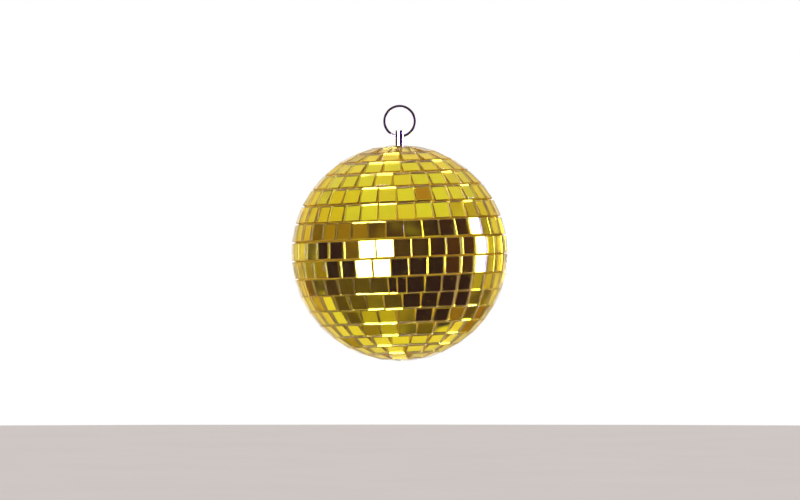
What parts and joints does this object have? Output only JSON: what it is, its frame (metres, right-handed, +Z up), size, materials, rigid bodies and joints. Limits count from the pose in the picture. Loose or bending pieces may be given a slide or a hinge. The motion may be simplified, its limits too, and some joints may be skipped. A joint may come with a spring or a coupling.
{
  "type": "mirror ball",
  "caption": "Small gold mirror ball: rows of square glass mirror tiles on a hollow core, hung from a chromed post with a cross hole by a split ring.",
  "frame": {"origin": "where a hook carries the split ring: the inside of the ring's top", "axes": "+Z up along the post, -Y the front, +X to the right of the front; the ring lies in the XZ plane"},
  "size_m": [0.1247, 0.1248, 0.1477],
  "materials": {
    "gold_mirror": "gold-tinted glass mirror, square-cut edges, on woven cloth backing",
    "post_chrome": "bright chromed, turned",
    "ring_steel": "nickel-plated spring steel, polished",
    "hardware_zinc": "zinc-plated steel",
    "core_plastic": "moulded, unpainted, slightly rough"
  },
  "bodies": {
    "ring": {"split_ring": "ring_steel"},
    "ball": {"hanger_post": "post_chrome", "spreader_washer": "hardware_zinc", "lock_washer": "hardware_zinc", "hex_nut": "hardware_zinc", "upper_core_shell": "core_plastic", "lower_core_shell": "core_plastic", "tile_row_01": "gold_mirror", "tile_row_02": "gold_mirror", "tile_row_03": "gold_mirror", "tile_row_04": "gold_mirror", "tile_row_05": "gold_mirror", "tile_row_06": "gold_mirror", "tile_row_07": "gold_mirror", "tile_row_08": "gold_mirror", "tile_row_09": "gold_mirror", "tile_row_10": "gold_mirror", "tile_row_11": "gold_mirror", "tile_row_12": "gold_mirror", "tile_row_13": "gold_mirror", "tile_row_14": "gold_mirror", "tile_row_15": "gold_mirror", "tile_row_16": "gold_mirror", "tile_row_17": "gold_mirror", "tile_row_18": "gold_mirror", "bottom_pole_tile": "gold_mirror"}
  },
  "joints": [
    {"name": "ball_swing", "type": "hinge", "parent": "ring", "child": "ball", "pos_m": [0, 0, -0.0168], "axis": [1, 0, 0], "range_deg": [-108, 108]}
  ]
}
